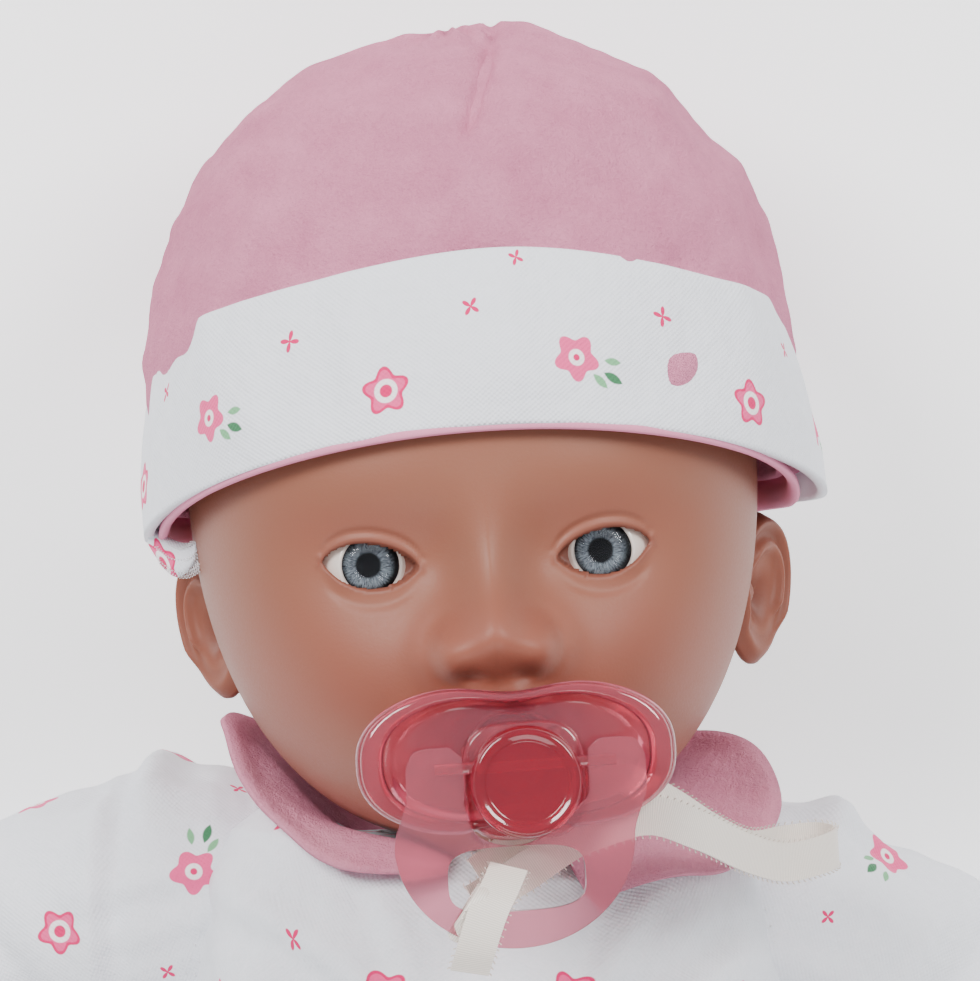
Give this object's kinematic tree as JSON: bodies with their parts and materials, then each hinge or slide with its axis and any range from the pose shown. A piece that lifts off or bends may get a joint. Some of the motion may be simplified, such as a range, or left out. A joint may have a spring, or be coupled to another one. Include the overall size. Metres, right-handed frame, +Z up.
{
  "type": "interactive baby doll",
  "caption": "Soft-bodied baby doll lying on its back, with a turning vinyl head, swinging limbs, a lift-off hat, a pull-out pacifier and a press-to-sound unit.",
  "frame": {"origin": "on the flat patch of the romper's back, between the shoulder blades and the seat", "axes": "+X to the doll's left hand, +Y from feet to crown, +Z up out of the chest; the doll lies on its back"},
  "size_m": [0.3137, 0.4037, 0.1153],
  "materials": {
    "vinyl_skin": "satin doll vinyl, painted blush",
    "stuffing": "loose fibre",
    "eye_white": "gloss",
    "iris": "printed, gloss",
    "cornea": "clear dome",
    "white_plastic": "moulded",
    "grey_plastic": "moulded",
    "fleece": "short pile fleece",
    "printed_cotton": "interlock knit with a flower print",
    "velour": "velour pile",
    "body_cloth": "plain woven cotton",
    "pacifier_plastic": "translucent rose, gloss",
    "silicone": "soft teat",
    "satin": "ivory satin ribbon",
    "steel": "plain",
    "battery_label": "plain dark sleeve",
    "board": "solder mask",
    "paper_cone": "treated paper",
    "hook_tape": "hook and loop tape"
  },
  "bodies": {
    "torso": {"romper_front": "printed_cotton", "romper_back": "printed_cotton", "body_front": "body_cloth", "body_back": "body_cloth", "collar": "velour", "hook_strip": "hook_tape", "loop_strip": "hook_tape", "neck_cable_tie": "white_plastic", "sound_case_back": "white_plastic", "sound_case_front": "white_plastic", "battery_door": "white_plastic", "door_screw": "steel", "battery_1": "battery_label", "battery_2": "battery_label", "battery_3": "battery_label", "battery_contact_low": "steel", "battery_contact_high": "steel", "circuit_board": "board", "speaker_frame": "steel", "speaker_cone": "paper_cone", "speaker_magnet": "steel"},
    "head": {"head_shell": "vinyl_skin", "head_stuffing": "stuffing", "eyeball_left": "eye_white", "eyeball_right": "eye_white", "iris_left": "iris", "iris_right": "iris", "cornea_left": "cornea", "cornea_right": "cornea", "eye_retainer_left": "white_plastic", "eye_retainer_right": "white_plastic", "mouth_cup": "white_plastic", "reed_switch": "cornea", "neck_plug_disc": "white_plastic"},
    "hat": {"hat_crown": "fleece", "hat_cuff": "printed_cotton"},
    "pacifier": {"pacifier_shield": "pacifier_plastic", "pacifier_knob": "pacifier_plastic", "pacifier_teat": "silicone", "pacifier_magnet": "steel", "handle_pin": "steel", "ribbon": "satin"},
    "handle": {"pacifier_handle": "pacifier_plastic", "ribbon_knot": "satin", "ribbon_tail": "satin"},
    "button": {"press_button": "pacifier_plastic"},
    "switch": {"power_switch": "grey_plastic"},
    "left_arm": {"sleeve_left": "printed_cotton", "upper_arm_left": "body_cloth", "arm_left": "vinyl_skin"},
    "right_arm": {"sleeve_right": "printed_cotton", "upper_arm_right": "body_cloth", "arm_right": "vinyl_skin"},
    "left_leg": {"romper_leg_left": "printed_cotton", "thigh_left": "body_cloth", "leg_left": "vinyl_skin"},
    "right_leg": {"romper_leg_right": "printed_cotton", "thigh_right": "body_cloth", "leg_right": "vinyl_skin"}
  },
  "joints": [
    {"name": "neck_turn", "type": "hinge", "parent": "torso", "child": "head", "pos_m": [0.0012, 0.058, 0.046], "axis": [-0.0645, 0.9979, 0], "range_deg": [-35, 35], "deforming": ["ribbon", "ribbon_tail", "collar"]},
    {"name": "hat_lift", "type": "slide", "parent": "head", "child": "hat", "axis": [-0.0645, 0.9979, 0], "range_m": [0, 0.12]},
    {"name": "pacifier_pull", "type": "slide", "parent": "head", "child": "pacifier", "axis": [0.0435, 0.0028, 0.999], "range_m": [0, 0.03]},
    {"name": "handle_swing", "type": "hinge", "parent": "pacifier", "child": "handle", "pos_m": [0.00587, 0.07594, 0.11041], "axis": [-0.997, -0.0645, 0.0436], "range_deg": [0, 140]},
    {"name": "shoulder_left", "type": "hinge", "parent": "torso", "child": "left_arm", "pos_m": [0.046, 0.047, 0.03], "axis": [-0.4226, -0.9063, 0], "range_deg": [0, 75]},
    {"name": "shoulder_right", "type": "hinge", "parent": "torso", "child": "right_arm", "pos_m": [-0.046, 0.053, 0.03], "axis": [-0.2588, 0.9659, 0], "range_deg": [0, 75]},
    {"name": "hip_left", "type": "hinge", "parent": "torso", "child": "left_leg", "pos_m": [0.027, -0.054, 0.03], "axis": [-0.9816, -0.1908, 0], "range_deg": [0, 75]},
    {"name": "hip_right", "type": "hinge", "parent": "torso", "child": "right_leg", "pos_m": [-0.027, -0.054, 0.03], "axis": [-0.9816, 0.1908, 0], "range_deg": [0, 75]},
    {"name": "power_switch_slide", "type": "slide", "parent": "torso", "child": "switch", "axis": [1, 0, 0], "range_m": [0, 0.003]},
    {"name": "button_press", "type": "slide", "parent": "torso", "child": "button", "axis": [0, 0, -1], "range_m": [0, 0.0025], "stiffness_N_per_m": 300}
  ]
}
